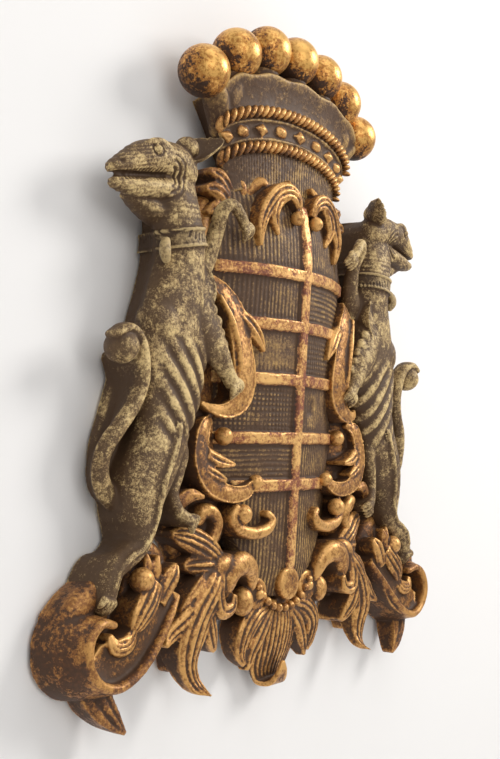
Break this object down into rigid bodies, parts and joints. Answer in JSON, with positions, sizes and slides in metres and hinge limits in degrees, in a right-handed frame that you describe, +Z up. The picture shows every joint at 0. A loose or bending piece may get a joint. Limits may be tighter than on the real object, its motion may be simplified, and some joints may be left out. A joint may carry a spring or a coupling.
{
  "type": "carved armorial shield",
  "caption": "Carved and gilt wooden wall shield in high relief with a coronet, two hound supporters and acanthus scrollwork on a flat back.",
  "frame": {"origin": "hanging point on the flat back, on the middle line behind the coronet's foot", "axes": "+Z up, +Y towards the wall, the carved front faces -Y"},
  "size_m": [0.6276, 0.0726, 0.6666],
  "materials": {
    "gilt_wood": "worn gilding over dark bole and umber wash"
  },
  "bodies": {
    "root": {"armorial_shield": "gilt_wood"}
  },
  "joints": []
}
